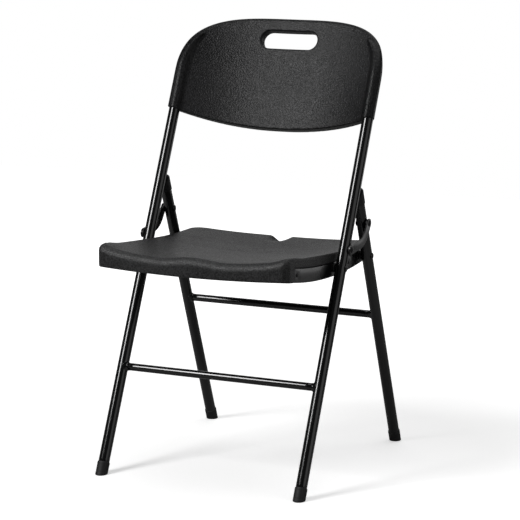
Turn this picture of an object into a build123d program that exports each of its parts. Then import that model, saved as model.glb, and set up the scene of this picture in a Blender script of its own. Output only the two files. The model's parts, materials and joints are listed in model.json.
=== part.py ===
from build123d import *

import os
from math import asin, atan, cos, pi, sin, sqrt

# Folding chair with a steel tube frame, a blow-moulded seat and a blow-moulded back.
# +Z is up, +Y points to the rear of the chair and +X to the sitter's left.
# The parts are drawn with Y = 0 on the floor under the front legs' axis, and moved along Y
# at the end, so that the written files have their origin at the middle of the footprint.

# ---------------------------------------------------------------- driving dimensions (mm, degrees)
FRAME_X = 214.0               # tube axes, left and right of the middle
TUBE_R = 11.0                 # 22 mm frame tube
TUBE_WALL = 1.2
BAR_R = 7.6                   # crossbar tube
BAR_WALL = 1.0
FRONT_SLOPE = 0.464           # rearward lean of the front uprights, Y per Z
REAR_SLOPE = 0.3984           # forward lean of the rear legs, Y per Z
REAR_FOOT_Y = 493.7           # rear legs' axis on the floor
FRONT_BAR_Z = 200.0
REAR_BAR_Z = 290.0
TUBE_START = 9.0              # lower end of every leg tube inside its foot cap, along its axis
UPRIGHT_TOP = 848.0           # upper end of the uprights inside the back, along their axis
WELD_FLARE = 3.4              # the welds stand out this far round the crossbars
WELD_RUN = 7.0                # and run this far along them, 2.5 of it behind the leg's face
WELD_ROOT = 2.5

SEAT_PIVOT_Z = 416.3          # seat rail on the front upright
LINK_TOP_PIVOT_Z = 451.3      # link on the front upright
LEG_PIVOT_Z = 419.8           # seat rail on the rear leg
LINK_END_PIVOT_Z = 490.3      # link on the rear leg

CAP_R = 12.5                  # plastic foot caps and top caps
CAP_LENGTH = 25.0             # top of the foot caps, along the tube
TOP_CAP_Z = 560.0             # top of the rear legs' end caps
TOP_CAP_RIM_Z = 531.0
TOP_CAP_R = 12.3
TOP_CAP_CHAMFER = 4.0
TOP_CAP_FILL = 20.0           # the cap is solid for this length above the leg's end
STOP_GAP = 0.5                # open chair: end cap to the back of the upright

RAIL_OUTER_X = 200.0          # seat rail, a bent steel angle
RAIL_T = 2.5
RAIL_H = 27.0
RAIL_FLANGE = 16.0
RAIL_FLANGE_T = 2.0
RAIL_FRONT_Y = 4.0
RAIL_REAR_Y = 352.0
RAIL_LOW = (215.0, 400.0)     # lowest point of the rail's lower edge, (Y, Z)
RAIL_BEND_R = 1200.0          # radius of the rail's upward bend
RAIL_GAP = 1.2                # shadow gap between the rails and the seat's rim
RAIL_FIT = 0.5                # play of the seat at the rails' ends
FLANGE_SHORT = 30.0           # the flanges end this far ahead of the rails' rear ends
SCREW_R = 2.4
SCREW_HEAD_R = 4.6
SCREW_HEAD_H = 1.8
SCREW_DEPTH = 12.0            # into the seat's side

SEAT_FRONT_Y = -32.0
SEAT_REAR_Y = 389.0
SEAT_CORNER_HALF = 202.5      # half width at the front corners, ahead of the rails
SEAT_RIM_HALF = 200.0         # half width of the rim over the rails
SEAT_SIDE_HALF = RAIL_OUTER_X - RAIL_T
SEAT_WALL = 3.0
SEAT_REAR_Z = 439.5           # rim height at the rear
SEAT_FRONT_RISE = 26.0        # rim rise from the rear to the front corners
SEAT_RISE_POWER = 1.3         # the rise steepens towards the front by this power
SEAT_DISH = 17.0
SEAT_DISH_POWER = 2.6         # the dish is flat in the middle and steep near the rims
LIP_DEPTH = 80.0              # the lip fades out over this depth behind the front edge
FRONT_CORNER_R = 15.0         # plan radii of the seat's corners
REAR_CORNER_R = 30.0
WING_RISE = 4.0               # extra height of the front corners
LIP_DROP = 3.5                # front lip below the rails' bed, at the corners
LIP_SAG = 6.5                 # and further down in the middle
NOTCH_HALF = 27.0             # scoop in the middle of the rear edge
NOTCH_DEPTH = 12.5
NOTCH_RUN = 60.0

SLEEVE_R = 13.6               # back panel's sleeves around the uprights
SLEEVE_TAPER = 66.0           # the sleeves fade out over this length above the tubes
BACK_OUT = 227.0              # outline half width
BACK_EDGE_N = -3.0            # front face at the outline's sides, behind the tubes' axes
BACK_LOW_N = 38.0             # front face at the middle of the lower edge
BACK_HIGH_N = 25.0            # front face at the middle of the top
BACK_T = 20.0                 # thickness at the middle
BACK_RIM_T = 14.0             # thickness at the sides
BACK_BOW_POWER = 3.5          # the bow is flat in the middle and steep near the tubes
BACK_THIN_POWER = 4.0
BACK_WALL = 3.0
BACK_SIDE_S = 839.0           # end of the straight sides, along the tube
BACK_TOP_S = 979.0            # top of the outline, along the tube
BACK_BOTTOM_S = 766.0         # lower edge at the sides
BACK_DROP = 20.0              # how far the lower edge hangs in the middle
CROWN_ACROSS_POWER = 3.19     # superellipse powers of the arched top
CROWN_UP_POWER = 2.76
HANDLE_S = 933.5              # hand hole: middle, length and height
HANDLE_L = 128.0
HANDLE_H = 40.0

LINK_W = 19.0                 # link between upright and rear leg
LINK_T = 2.5
LINK_INNER_X = 227.5
RIVET_R = 4.0
HEAD_R = 7.5
LOW_HEAD = 2.0                # dome heights of the tube rivets and of the link rivets
HIGH_HEAD = 2.6
TAIL_T = 2.4                  # formed tail of a tube rivet inside the rail
WASHER_R = 9.0
SPACER_R = 8.0
RING_FIT = 0.1                # radial clearance of washers and spacers on their rivets
LINK_BEND_R = 45.0
RUN_FIT = 0.05                # radial clearance of rivets in the holes that turn on them
SIDE_GAP = 0.3                # between faces of bodies that move past each other

SIDES = (("left", 1), ("right", -1))

# ---------------------------------------------------------------- frames of the two leg pairs
front_angle = atan(FRONT_SLOPE)
rear_angle = atan(REAR_SLOPE)
# In these planes local X is the chair's X, local Y points to the rear, local Z runs up the tube.
front_plane = Plane((0, 0, 0), x_dir=(1, 0, 0), z_dir=(0, sin(front_angle), cos(front_angle)))
rear_plane = Plane((0, REAR_FOOT_Y, 0), x_dir=(1, 0, 0), z_dir=(0, -sin(rear_angle), cos(rear_angle)))


def upright_point(z):
    return FRONT_SLOPE * z, z


def leg_point(z):
    return REAR_FOOT_Y - REAR_SLOPE * z, z


PIVOT_D = upright_point(SEAT_PIVOT_Z)
PIVOT_E = upright_point(LINK_TOP_PIVOT_Z)
PIVOT_C = leg_point(LEG_PIVOT_Z)
PIVOT_B = leg_point(LINK_END_PIVOT_Z)


# ---------------------------------------------------------------- small helpers
ON_END = (Align.CENTER, Align.CENTER, Align.MIN)


def rod(r, start, end):
    """Solid round bar along local Z, from start to end."""
    return Pos(0, 0, start) * Cylinder(r, end - start, align=ON_END)


def pipe(r, wall, start, end):
    return rod(r, start, end) - rod(r - wall, start - 1, end + 1)


def cross_rod(r, x0, x1, point):
    """Solid round bar along X at a side view point (Y, Z)."""
    low, high = min(x0, x1), max(x0, x1)
    return Pos(low, *point) * (Rot(0, 90, 0) * rod(r, 0, high - low))


def dome_head(r, h, x_face, point, side):
    """Domed rivet head that sits on a face at x_face and points outward along side."""
    ball_r = (r * r + h * h) / (2 * h)
    half_turn = asin(r / ball_r) / 2
    on_dome = (ball_r * sin(half_turn), h - ball_r + ball_r * cos(half_turn))
    outline = [Line((0, 0), (r, 0)), ThreePointArc((r, 0), on_dome, (0, h)), Line((0, h), (0, 0))]
    profile = make_face(outline)
    dome = revolve(Plane.XZ * profile, axis=Axis.Z)
    return Pos(x_face, *point) * (Rot(0, 90 * side, 0) * dome)


def ring(r_out, r_in, x0, x1, point):
    return cross_rod(r_out, x0, x1, point) - cross_rod(r_in, min(x0, x1) - 1, max(x0, x1) + 1, point)


# ---------------------------------------------------------------- front frame: tubes and crossbar
def pivot_hole(side, point, through):
    inner = FRAME_X - TUBE_R - 2 if through else FRAME_X
    return cross_rod(RIVET_R, side * inner, side * (FRAME_X + TUBE_R + 2), point)


def front_upright(side):
    tube = front_plane * (Pos(side * FRAME_X, 0, 0) * pipe(TUBE_R, TUBE_WALL, TUBE_START, UPRIGHT_TOP))
    return tube - pivot_hole(side, PIVOT_D, True) - pivot_hole(side, PIVOT_E, False)


def rear_leg(side):
    top = TOP_CAP_Z / cos(rear_angle) - TOP_CAP_FILL
    tube = rear_plane * (Pos(side * FRAME_X, 0, 0) * pipe(TUBE_R, TUBE_WALL, TUBE_START, top))
    return tube - pivot_hole(side, PIVOT_C, True) - pivot_hole(side, PIVOT_B, True)


def crossbar(plane, z, angle):
    """Tube across the frame with its ends shaped to the legs."""
    s = z / cos(angle)
    bar = Pos(-FRAME_X, 0, s) * (Rot(0, 90, 0) * pipe(BAR_R, BAR_WALL, 0, 2 * FRAME_X))
    for _, side in SIDES:
        bar -= Pos(side * FRAME_X, 0, 0) * rod(TUBE_R, s - 30, s + 30)
    return plane * bar


def crossbar_welds(plane, z, angle):
    """A flared bead where each end of a crossbar meets its leg."""
    s = z / cos(angle)
    beads = []
    for _, side in SIDES:
        inner_face = side * (FRAME_X - TUBE_R)
        cone = Cone(BAR_R + WELD_FLARE, BAR_R + 0.3, WELD_RUN, align=ON_END)
        bead = Pos(inner_face + side * WELD_ROOT, 0, s) * (Rot(0, -90 * side, 0) * cone)
        bead -= Pos(side * FRAME_X, 0, 0) * rod(TUBE_R, s - 30, s + 30)
        bead -= Pos(-FRAME_X, 0, s) * (Rot(0, 90, 0) * rod(BAR_R, 0, 2 * FRAME_X))
        beads.append(plane * bead)
    return Compound([bead.solid() for bead in beads])


# ---------------------------------------------------------------- plastic caps on the tube ends
def foot_cap(plane, side):
    body = rod(CAP_R, -14, CAP_LENGTH) - rod(TUBE_R, TUBE_START, CAP_LENGTH + 1)
    body = plane * (Pos(side * FRAME_X, 0, 0) * body)
    floor = Pos(side * FRAME_X, 0, -50) * Box(100, 2000, 100)
    return body - floor


def top_cap(side):
    """End cap of a rear leg; its front is flat and rests on the back of the upright."""
    rim, top = TOP_CAP_RIM_Z / cos(rear_angle), TOP_CAP_Z / cos(rear_angle)
    shoulder = top - TOP_CAP_CHAMFER
    crown = Cone(TOP_CAP_R, TOP_CAP_R - 3.8, TOP_CAP_CHAMFER, align=ON_END)
    body = rod(TOP_CAP_R, rim, shoulder) + Pos(0, 0, shoulder) * crown
    body -= rod(TUBE_R, rim - 1, top - TOP_CAP_FILL)
    body = rear_plane * (Pos(side * FRAME_X, 0, 0) * body)
    keep_behind = Box(80, 200, 400, align=(Align.CENTER, Align.MIN, Align.CENTER))
    behind = front_plane * (Pos(side * FRAME_X, TUBE_R + STOP_GAP, top) * keep_behind)
    return body & behind


# ---------------------------------------------------------------- rivets, spacers and links
TUBE_OUT = FRAME_X + TUBE_R
TUBE_IN = FRAME_X - TUBE_R
LINK_OUTER_X = LINK_INNER_X + LINK_T


def through_rivet(side, point):
    """Rivet through a tube and the seat rail, headed inside the rail and outside the tube."""
    inner_face = RAIL_OUTER_X - RAIL_T - 0.1
    tail_x = side * (inner_face - TAIL_T)
    shank = cross_rod(RIVET_R - RUN_FIT, tail_x, side * (TUBE_OUT + 0.5), point)
    head = dome_head(HEAD_R, LOW_HEAD, side * TUBE_OUT, point, side)
    tail = cross_rod(HEAD_R - 1, tail_x, side * inner_face, point)
    return shank + head + tail


def link_rivet(side):
    """Blind rivet that holds the link on the upright."""
    shank = cross_rod(RIVET_R - RUN_FIT, side * (TUBE_OUT - 8), side * (LINK_OUTER_X + 0.5), PIVOT_E)
    head = dome_head(HEAD_R, HIGH_HEAD, side * (LINK_OUTER_X + 0.1), PIVOT_E, side)
    return shank + head


def link_end_rivet(side):
    """Head half of the rivet at the link's lower end; it turns with the link."""
    near, far = side * (TUBE_OUT + SIDE_GAP), side * (LINK_OUTER_X + 0.5)
    shank = cross_rod(RIVET_R - RUN_FIT, near, far, PIVOT_B)
    return shank + dome_head(HEAD_R, HIGH_HEAD, side * LINK_OUTER_X, PIVOT_B, side)


def link_end_tail(side):
    """Tail half of the same rivet; it stays in the rear leg."""
    shank = cross_rod(RIVET_R - RUN_FIT, side * (TUBE_IN - 0.4), side * TUBE_OUT, PIVOT_B)
    tail = dome_head(HEAD_R - 0.5, 2.2, side * TUBE_IN, PIVOT_B, -side)
    return shank + tail


def rail_washer(side, point):
    """Washer between a seat rail and a tube, a running gap off the rail."""
    return ring(WASHER_R, RIVET_R + RING_FIT, side * (RAIL_OUTER_X + SIDE_GAP), side * TUBE_IN, point)


def link_spacer(side, tube_gap, point):
    """Spacer between a tube and the link; its running gap is at the tube or at the link."""
    near = TUBE_OUT + tube_gap
    far = LINK_INNER_X - SIDE_GAP + tube_gap
    return ring(SPACER_R, RIVET_R + RING_FIT, side * near, side * far, point)


def link_outline():
    """Side view of the link, a flat bar bent near its middle."""
    (ey, ez), (by, bz) = PIVOT_E, PIVOT_B
    bend = (ey + 0.72 * (by - ey), ez + 0.16 * (bz - ez))
    return FilletPolyline((ey, ez), bend, (by, bz), radius=LINK_BEND_R)


def link(side):
    path = link_outline()
    band = trace(path, LINK_W)
    ends = [Pos(*p) * Circle(LINK_W / 2) for p in (PIVOT_E, PIVOT_B)]
    face = band + ends[0] + ends[1]
    face -= Pos(*PIVOT_E) * Circle(RIVET_R)
    face -= Pos(*PIVOT_B) * Circle(RIVET_R)
    low_x = LINK_INNER_X if side > 0 else -LINK_OUTER_X
    return extrude(Plane.YZ.offset(low_x) * face, LINK_T)


# ---------------------------------------------------------------- seat
def rail_edge(y):
    """Height of the rails' lower edge."""
    return RAIL_LOW[1] + RAIL_BEND_R - sqrt(RAIL_BEND_R ** 2 - (y - RAIL_LOW[0]) ** 2)


def rim_height(y):
    depth = 0.75 * (SEAT_REAR_Y - SEAT_FRONT_Y)
    ahead = max(0.0, 1 - (y - SEAT_FRONT_Y) / depth)
    return SEAT_REAR_Z + SEAT_FRONT_RISE * ahead ** SEAT_RISE_POWER


def bell(t):
    """Smooth hump, 1 at t = 0 and 0 from |t| = 1."""
    return 0.5 + 0.5 * cos(pi * t) if abs(t) < 1 else 0.0


def seat_top(x, y):
    across = 1 - min(1.0, abs(x) / SEAT_RIM_HALF) ** SEAT_DISH_POWER
    rear_fade = 0.3 + 0.7 * min(1.0, (SEAT_REAR_Y + 20 - y) / 190)
    dish = SEAT_DISH * across * rear_fade
    notch = NOTCH_DEPTH * bell(x / NOTCH_HALF) * bell(min(0.0, y - SEAT_REAR_Y) / NOTCH_RUN)
    wing = WING_RISE * bell((abs(x) - SEAT_CORNER_HALF) / 45) * bell((y - SEAT_FRONT_Y - 20) / 70)
    return rim_height(y) - dish - notch + wing


def seat_bottom(x, y):
    across = 1 - min(1.0, abs(x) / SEAT_RIM_HALF) ** 2
    lip = (LIP_DROP + LIP_SAG * across) * bell((y - SEAT_FRONT_Y) / LIP_DEPTH)
    return rail_edge(y) + RAIL_FLANGE_T - lip


def height_surface(height, offset):
    rows = 29
    y0, y1, x1 = SEAT_FRONT_Y - 12, SEAT_REAR_Y + 12, SEAT_CORNER_HALF + 10
    xs = [-x1 + 2 * x1 * i / (rows - 1) for i in range(rows)]
    ys = [y0 + (y1 - y0) * j / (rows - 1) for j in range(rows)]
    points = [[Vector(x, y, height(x, y) + offset) for y in ys] for x in xs]
    return Face.make_surface_from_array_of_points(points)


def seat_plan(inset):
    """Plan of the seat: small radii at the front, large ones at the rear."""
    half = SEAT_CORNER_HALF - inset
    y0, y1 = SEAT_FRONT_Y + inset, SEAT_REAR_Y - inset
    face = make_face(Polyline((-half, y0), (half, y0), (half, y1), (-half, y1), close=True))
    face = fillet(face.vertices().group_by(Axis.Y)[0], FRONT_CORNER_R - inset)
    return fillet(face.vertices().group_by(Axis.Y)[-1], REAR_CORNER_R - inset)


def seat_block(inset, top_offset, bottom_offset):
    block = extrude(Pos(0, 0, 380) * seat_plan(inset), 120)
    under_top = Solid.extrude(height_surface(seat_top, top_offset), Vector(0, 0, -150))
    under_bottom = Solid.extrude(height_surface(seat_bottom, bottom_offset), Vector(0, 0, -150))
    return (block & under_top) - under_bottom


def rail_face(y0, y1, low, high):
    """Side view of a strip that follows the rail's bend, between two heights above its lower edge."""
    ys = (y0, (y0 + y1) / 2, y1)
    lower = ThreePointArc(*[(y, rail_edge(y) + low) for y in ys])
    upper = ThreePointArc(*[(y, rail_edge(y) + high) for y in reversed(ys)])
    return make_face([lower, Line(lower @ 1, upper @ 0), upper, Line(upper @ 1, lower @ 0)])


def side_slab(face, x0, x1):
    low, high = min(x0, x1), max(x0, x1)
    return extrude(Plane.YZ.offset(low) * face, high - low)


RAIL_SCREW_Y = (RAIL_FRONT_Y + 13, 262.0)


def rail_screw_points():
    return [(y, rail_edge(y) + 0.55 * RAIL_H) for y in RAIL_SCREW_Y]


def seat_rail(side):
    web = rail_face(RAIL_FRONT_Y, RAIL_REAR_Y, 0, RAIL_H)
    web = side_slab(web, side * SEAT_SIDE_HALF, side * RAIL_OUTER_X)
    flange = rail_face(RAIL_FRONT_Y, RAIL_REAR_Y - FLANGE_SHORT, 0, RAIL_FLANGE_T)
    flange = side_slab(flange, side * (SEAT_SIDE_HALF - RAIL_FLANGE), side * SEAT_SIDE_HALF)
    rail = web + flange
    for point in (PIVOT_D, PIVOT_C):
        rail -= cross_rod(RIVET_R, side * (SEAT_SIDE_HALF - 1), side * (RAIL_OUTER_X + 1), point)
    for point in rail_screw_points():
        rail -= cross_rod(SCREW_R + 0.1, side * (SEAT_SIDE_HALF - 1), side * (RAIL_OUTER_X + 1), point)
    return rail


def rail_screws():
    screws = []
    for _, side in SIDES:
        for point in rail_screw_points():
            deep, near = side * (SEAT_SIDE_HALF - SCREW_DEPTH), side * (RAIL_OUTER_X + 0.5)
            head = dome_head(SCREW_HEAD_R, SCREW_HEAD_H, side * RAIL_OUTER_X, point, side)
            screws.append(cross_rod(SCREW_R, deep, near, point) + head)
    return Compound([screw.solid() for screw in screws])


def seat_panel():
    shell = seat_block(0, 0, 0)
    hollow = seat_block(SEAT_WALL + 2.5, -SEAT_WALL, SEAT_WALL)
    for _, side in SIDES:
        # The sides step in behind the front corners, and again to seat the rails.
        step = Box(20, 500, 200, align=(Align.MIN, Align.MIN, Align.CENTER))
        step_x = SEAT_RIM_HALF if side > 0 else -SEAT_RIM_HALF - 20
        front = RAIL_FRONT_Y - RAIL_FIT
        shell -= Pos(step_x, front, 430) * step
        recess = rail_face(front, SEAT_REAR_Y + 5, -30, RAIL_H + RAIL_GAP)
        shell -= side_slab(recess, side * SEAT_SIDE_HALF, side * (SEAT_RIM_HALF + 20))
        bed = rail_face(front, RAIL_REAR_Y - FLANGE_SHORT + 1, -30, RAIL_FLANGE_T + 0.1)
        bed_x = SEAT_SIDE_HALF - RAIL_FLANGE - RAIL_FIT
        shell -= side_slab(bed, side * bed_x, side * (SEAT_SIDE_HALF + 1))
        for point in (PIVOT_D, PIVOT_C):
            shell -= cross_rod(HEAD_R + 1.5, side * (SEAT_SIDE_HALF - 6), side * (RAIL_OUTER_X + 5), point)
        for point in rail_screw_points():
            deep = side * (SEAT_SIDE_HALF - SCREW_DEPTH)
            shell -= cross_rod(SCREW_R, deep, side * (RAIL_OUTER_X + 5), point)
    return shell - hollow


# ---------------------------------------------------------------- back panel
def back_section(mid_n, inset):
    """Plan section of the back, square to the tubes: a web that bows to the rear."""
    half = BACK_OUT + 3
    front, rear = [], []
    for i in range(17):
        x = half * sin(-pi / 2 + pi * i / 16)
        out = abs(x / half)
        n = BACK_EDGE_N + (mid_n - BACK_EDGE_N) * (1 - out ** BACK_BOW_POWER)
        thick = BACK_T + (BACK_RIM_T - BACK_T) * out ** BACK_THIN_POWER
        front.append((x, n + inset))
        rear.append((x, n + thick - inset))
    front_edge, rear_edge = Spline(*front), Spline(*rear)
    ends = [Line(front_edge @ 1, rear_edge @ 1), Line(rear_edge @ 0, front_edge @ 0)]
    return make_face([front_edge, ends[0], rear_edge, ends[1]])


def back_web(inset):
    """The web between the sleeves; its bow is deeper at the lower edge than at the top."""
    low_s, high_s = BACK_BOTTOM_S - BACK_DROP - 5, BACK_TOP_S + 5
    sections = [Pos(0, 0, low_s) * back_section(BACK_LOW_N, inset),
                Pos(0, 0, high_s) * back_section(BACK_HIGH_N, inset)]
    return loft(sections, ruled=True)


def back_outline(inset):
    """Front view outline of the back in the plane of the tubes: X across, Y up the tube."""
    half = BACK_OUT - inset
    count = 24
    points = []
    for i in range(count + 1):
        x = sin(-pi / 2 + pi * i / count)
        rise = max(0.0, 1 - abs(x) ** CROWN_ACROSS_POWER) ** (1 / CROWN_UP_POWER)
        points.append((half * x, BACK_SIDE_S + (BACK_TOP_S - BACK_SIDE_S - inset) * rise))
    crown = Spline(*points, tangents=[(0, 1), (0, -1)])
    low = BACK_BOTTOM_S + inset
    bottom = ThreePointArc((half, low), (0, low - BACK_DROP), (-half, low))
    return make_face([crown, Line(crown @ 1, bottom @ 0), bottom, Line(bottom @ 1, crown @ 0)])


def on_tube_plane(face, y0, y1):
    """Prism of a front view outline between two depths behind the tubes' axes."""
    upright_front = Plane((0, y1, 0), x_dir=(1, 0, 0), z_dir=(0, -1, 0))
    return extrude(upright_front * face, y1 - y0)


def hand_hole(grow):
    slot = Pos(0, HANDLE_S) * SlotOverall(HANDLE_L + 2 * grow, HANDLE_H + 2 * grow)
    return on_tube_plane(slot, -20, 130)


def back_panel():
    body = back_web(0)
    taper = Cone(SLEEVE_R, 3, SLEEVE_TAPER, align=ON_END)
    for _, side in SIDES:
        body += Pos(side * FRAME_X, 0, 0) * rod(SLEEVE_R, BACK_BOTTOM_S, UPRIGHT_TOP + 2)
        body += Pos(side * FRAME_X, 0, UPRIGHT_TOP + 2) * taper
    body &= on_tube_plane(back_outline(0), -30, 130)
    hollow = back_web(BACK_WALL)
    hollow &= Pos(0, 50, 880) * Box(2 * (FRAME_X - SLEEVE_R - 4), 300, 400)
    hollow &= on_tube_plane(back_outline(BACK_WALL + 3), -30, 130)
    hollow -= hand_hole(BACK_WALL)
    body -= hollow
    body -= hand_hole(0)
    for _, side in SIDES:
        body -= Pos(side * FRAME_X, 0, 0) * rod(TUBE_R, 700, UPRIGHT_TOP)
    return front_plane * body


def build():
    nodes = {}
    nodes["front_crossbar"] = crossbar(front_plane, FRONT_BAR_Z, front_angle)
    nodes["front_crossbar_welds"] = crossbar_welds(front_plane, FRONT_BAR_Z, front_angle)
    nodes["rear_crossbar"] = crossbar(rear_plane, REAR_BAR_Z, rear_angle)
    nodes["rear_crossbar_welds"] = crossbar_welds(rear_plane, REAR_BAR_Z, rear_angle)
    nodes["back_panel"] = back_panel()
    nodes["seat_panel"] = seat_panel()
    nodes["seat_rail_screws"] = rail_screws()
    for name, side in SIDES:
        nodes["front_upright_" + name] = front_upright(side)
        nodes["rear_leg_" + name] = rear_leg(side)
        nodes["front_foot_cap_" + name] = foot_cap(front_plane, side)
        nodes["rear_foot_cap_" + name] = foot_cap(rear_plane, side)
        nodes["rear_leg_top_cap_" + name] = top_cap(side)
        nodes["seat_rail_" + name] = seat_rail(side)
        nodes["link_" + name] = link(side)
        nodes["seat_pivot_rivet_" + name] = through_rivet(side, PIVOT_D)
        nodes["leg_pivot_rivet_" + name] = through_rivet(side, PIVOT_C)
        nodes["seat_pivot_washer_" + name] = rail_washer(side, PIVOT_D)
        nodes["leg_pivot_washer_" + name] = rail_washer(side, PIVOT_C)
        nodes["link_rivet_" + name] = link_rivet(side)
        nodes["link_spacer_" + name] = link_spacer(side, 0, PIVOT_E)
        nodes["link_end_rivet_" + name] = link_end_rivet(side)
        nodes["link_end_spacer_" + name] = link_spacer(side, SIDE_GAP, PIVOT_B)
        nodes["link_end_tail_" + name] = link_end_tail(side)
    return nodes


def middle_y(shapes):
    boxes = [shape.bounding_box() for shape in shapes]
    return (min(box.min.Y for box in boxes) + max(box.max.Y for box in boxes)) / 2


def main():
    nodes = build()
    shift = -middle_y(nodes.values())
    os.makedirs("parts", exist_ok=True)
    for name, shape in nodes.items():
        export_step(shape.moved(Pos(0, shift, 0)), "parts/" + name + ".step")
    print("moved along Y by", round(shift, 3))
    for name, (y, z) in (("D", PIVOT_D), ("E", PIVOT_E), ("C", PIVOT_C), ("B", PIVOT_B)):
        print("pivot", name, "Y", round(y + shift, 3), "Z", round(z, 3))


main()
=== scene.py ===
import json
import math

import bmesh
import bpy
import numpy as np
from mathutils import Matrix, Vector


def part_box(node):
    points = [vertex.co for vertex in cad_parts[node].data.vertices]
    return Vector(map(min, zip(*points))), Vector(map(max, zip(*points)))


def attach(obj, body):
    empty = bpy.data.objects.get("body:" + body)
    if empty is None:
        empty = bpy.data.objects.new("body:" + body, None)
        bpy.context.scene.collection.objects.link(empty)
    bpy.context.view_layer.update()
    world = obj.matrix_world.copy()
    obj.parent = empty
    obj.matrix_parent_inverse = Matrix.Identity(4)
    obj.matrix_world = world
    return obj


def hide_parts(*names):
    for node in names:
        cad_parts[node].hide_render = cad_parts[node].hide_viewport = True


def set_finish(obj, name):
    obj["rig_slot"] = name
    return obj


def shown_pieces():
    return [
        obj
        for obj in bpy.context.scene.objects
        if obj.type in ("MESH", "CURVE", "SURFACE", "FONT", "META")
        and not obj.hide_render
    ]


# Folding chair: painted steel tubes, a blow-moulded seat and back, turned rivets and moulded caps.
# Metres throughout. +Z is up, +Y is the rear of the chair, +X is the sitter's left.

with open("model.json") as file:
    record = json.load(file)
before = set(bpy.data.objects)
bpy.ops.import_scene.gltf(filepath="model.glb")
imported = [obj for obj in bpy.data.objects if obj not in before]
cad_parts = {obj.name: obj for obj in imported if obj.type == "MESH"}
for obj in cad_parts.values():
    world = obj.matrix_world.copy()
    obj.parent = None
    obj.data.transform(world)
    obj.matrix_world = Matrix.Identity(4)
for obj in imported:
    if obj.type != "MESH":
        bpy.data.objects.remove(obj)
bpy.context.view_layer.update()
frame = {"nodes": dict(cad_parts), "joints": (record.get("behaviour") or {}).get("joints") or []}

SIDES = (("left", 1), ("right", -1))
LEAN_ROUNDS = 30              # rounds in which a tube's lean settles


# ---------------------------------------------------------------- places read from the frame
def leaning_tube(node, lean):
    """A tube's radius, and axes from the foot of its axis: x across, y to the rear, z up the tube."""
    low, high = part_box(node)
    size, middle = high - low, (low + high) / 2
    radius = size.x / 2
    angle = math.atan2(size.y, size.z)
    for _ in range(LEAN_ROUNDS):
        angle = math.atan2(size.y - 2 * radius * math.cos(angle), size.z - 2 * radius * math.sin(angle))
    angle *= lean
    along = Vector((0, math.sin(angle), math.cos(angle)))
    rearward = Vector((0, math.cos(angle), -math.sin(angle)))
    foot = Vector((0, middle.y - math.tan(angle) * middle.z, 0))
    axes = Matrix((Vector((1, 0, 0)), rearward, along)).transposed().to_4x4()
    return radius, Matrix.Translation(foot) @ axes


_, FRONT_AXES = leaning_tube("front_upright_left", 1)
TUBE_R, REAR_AXES = leaning_tube("rear_leg_left", -1)
FRONT_FOOT_Y = FRONT_AXES.translation.y
TUBE_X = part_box("front_upright_left")[1].x - TUBE_R
TUBE_OUT = TUBE_X + TUBE_R
TUBE_IN = TUBE_X - TUBE_R

JOINT_AT = {joint["name"]: Vector(joint["pos_m"]) for joint in frame["joints"]}
SEAT_PIVOT = JOINT_AT["seat_fold"]
LEG_PIVOT = JOINT_AT["rear_leg_fold"]
LINK_PIVOT = JOINT_AT["link_left_swing"]
LINK_END = sum(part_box("link_end_rivet_left"), Vector()) / 2


def tube_span(node, axes):
    """Where a leaning tube starts and ends along its own axis."""
    low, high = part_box(node)
    lean = abs(axes[1][2]) * TUBE_R
    return (low.z + lean) / axes[2][2], (high.z - lean) / axes[2][2]


# ---------------------------------------------------------------- solids from distance fields
SLOPE_REACH = 0.04            # reach of the central differences, in grid steps
SLOPE_FLOOR = 0.05            # least squared slope that a move is divided by
FIRST_ROUNDS, LATER_ROUNDS, SMOOTH_ROUNDS = 4, 2, 2


def round_cut(a, b, r):
    """What is inside both a and b, with the edge where they meet rounded to r."""
    return np.minimum(np.maximum(a, b), -r) + np.hypot(np.maximum(a + r, 0), np.maximum(b + r, 0))


def round_join(a, b, r):
    """What is inside a or b, with a fillet of radius r where they meet."""
    return -round_cut(-a, -b, r)


def bell(t):
    """Smooth hump, 1 at t = 0 and 0 from |t| = 1."""
    return 0.5 + 0.5 * np.cos(math.pi * np.clip(t, -1, 1))


def slope_of(field, points, reach):
    """Gradient of a field at each point, by central differences."""
    parts = []
    for axis in range(3):
        shift = np.zeros(3)
        shift[axis] = reach
        parts.append((field(points + shift) - field(points - shift)) / (2 * reach))
    return np.stack(parts, 1)


def settle(field, points, step, rounds):
    """Moves points onto the surface where the field is zero."""
    for _ in range(rounds):
        value, slope = field(points), slope_of(field, points, step * SLOPE_REACH)
        share = value / np.maximum((slope ** 2).sum(1), SLOPE_FLOOR)
        points = points - np.clip(share, -step, step)[:, None] * slope
    return points


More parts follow.
